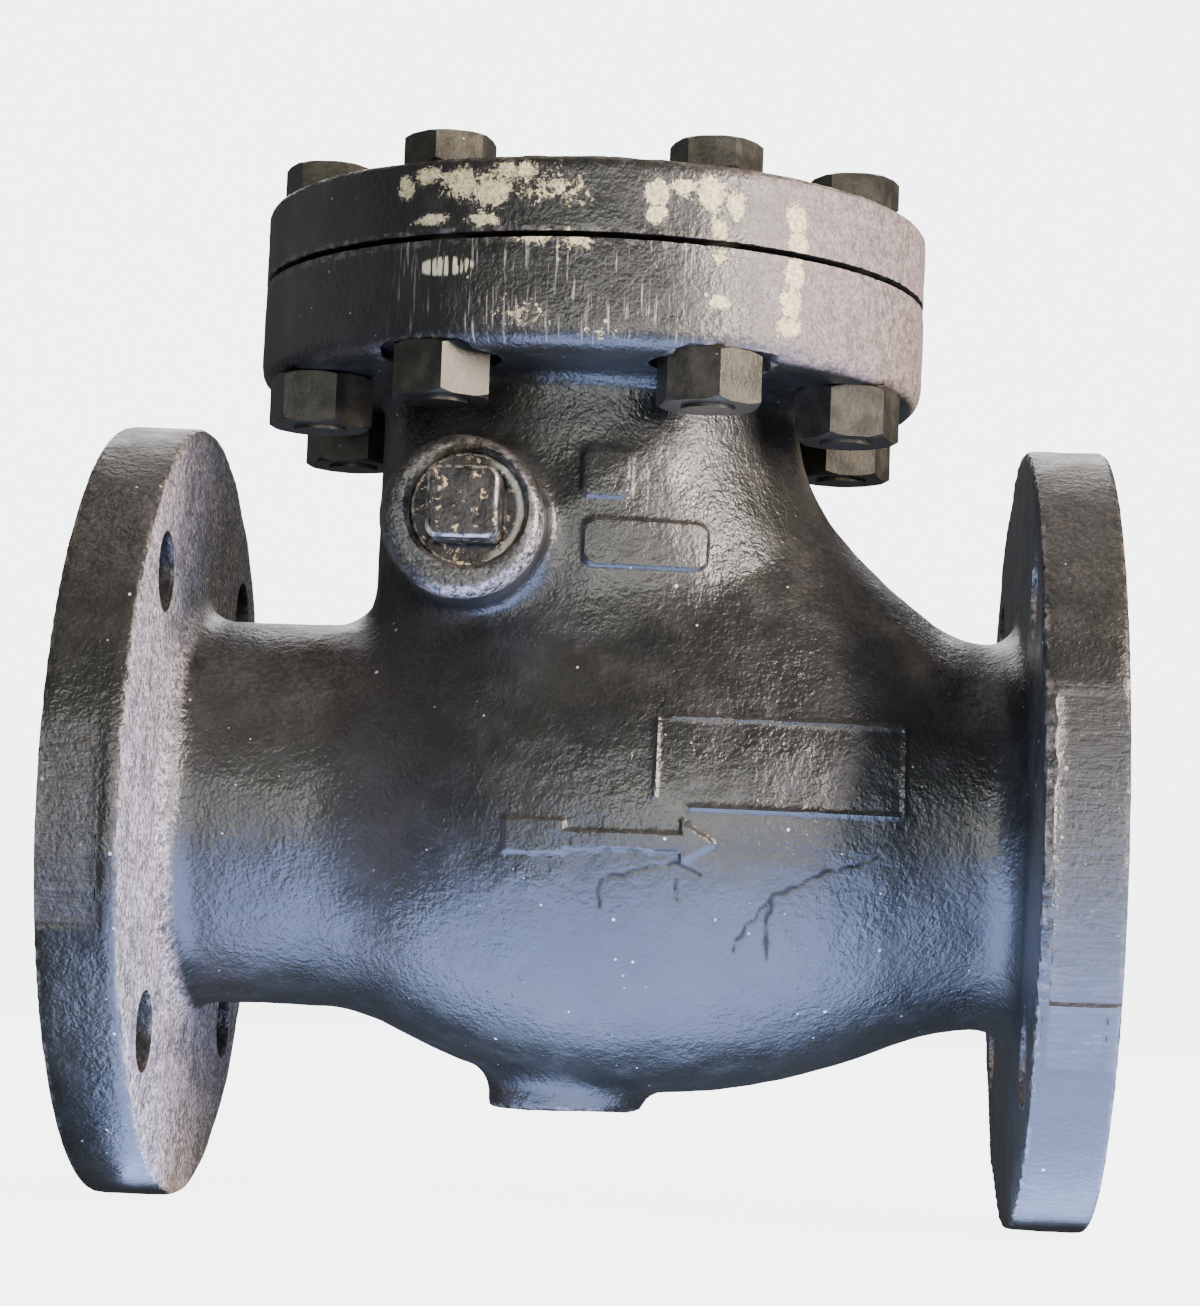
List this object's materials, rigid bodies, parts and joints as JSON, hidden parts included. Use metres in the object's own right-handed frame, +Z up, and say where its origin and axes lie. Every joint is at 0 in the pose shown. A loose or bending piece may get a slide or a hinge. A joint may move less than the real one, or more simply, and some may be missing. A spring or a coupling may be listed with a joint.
{
  "type": "swing check valve",
  "caption": "Flanged swing check valve with a bolted cover: a hinged disc lets water through one way and drops shut on its seat when the flow stops.",
  "frame": {"origin": "centre of the inlet flange's contact face, on the waterway's axis", "axes": "+X along the waterway with the flow, from inlet to outlet; +Z up through the bolted cover; +Y to the back"},
  "size_m": [0.2413, 0.1906, 0.2518],
  "materials": {
    "body_paint": "black bituminous paint over sand-cast iron, satin, dusty and scuffed",
    "cover_paint": "black bituminous paint over sand-cast iron, scuffed, with splashes of cream paint",
    "fastener": "dull black-oxide steel, oily, rubbed bright at the corners",
    "plug": "brass, painted black and worn through on the square head",
    "bronze": "machined bronze, slightly tarnished",
    "pin_steel": "ground stainless steel",
    "arm_iron": "bare cast iron, dark, slightly rusted",
    "disc_iron": "bare cast iron, turned on its edge",
    "gasket": "compressed fibre sheet, matt grey"
  },
  "bodies": {
    "valve_body": {"body_casting": "body_paint", "seat_ring": "bronze", "cover_gasket": "gasket", "cover": "cover_paint", "side_plug_front": "plug", "side_plug_rear": "plug", "cover_bolt_1": "fastener", "cover_bolt_2": "fastener", "cover_bolt_3": "fastener", "cover_bolt_4": "fastener", "cover_bolt_5": "fastener", "cover_bolt_6": "fastener", "cover_bolt_7": "fastener", "cover_bolt_8": "fastener", "cover_nut_1": "fastener", "cover_nut_2": "fastener", "cover_nut_3": "fastener", "cover_nut_4": "fastener", "cover_nut_5": "fastener", "cover_nut_6": "fastener", "cover_nut_7": "fastener", "cover_nut_8": "fastener"},
    "hinge_pin_body": {"hinge_pin": "pin_steel"},
    "arm_body": {"hinge_arm": "arm_iron"},
    "disc_body": {"disc": "disc_iron", "disc_face_ring": "bronze", "disc_stud": "bronze", "disc_washer": "bronze", "disc_nut": "bronze", "disc_lock_pin": "bronze"}
  },
  "joints": [
    {"name": "arm_swing", "type": "hinge", "parent": "valve_body", "child": "arm_body", "pos_m": [0.091, 0, 0.0688], "axis": [0, -1, 0], "range_deg": [0, 48]},
    {"name": "pin_turn", "type": "hinge", "parent": "valve_body", "child": "hinge_pin_body", "pos_m": [0.091, 0, 0.0688], "axis": [0, 1, 0], "continuous": true},
    {"name": "disc_spin", "type": "hinge", "parent": "arm_body", "child": "disc_body", "pos_m": [0.1, 0, 0], "axis": [1, 0, 0], "continuous": true}
  ]
}
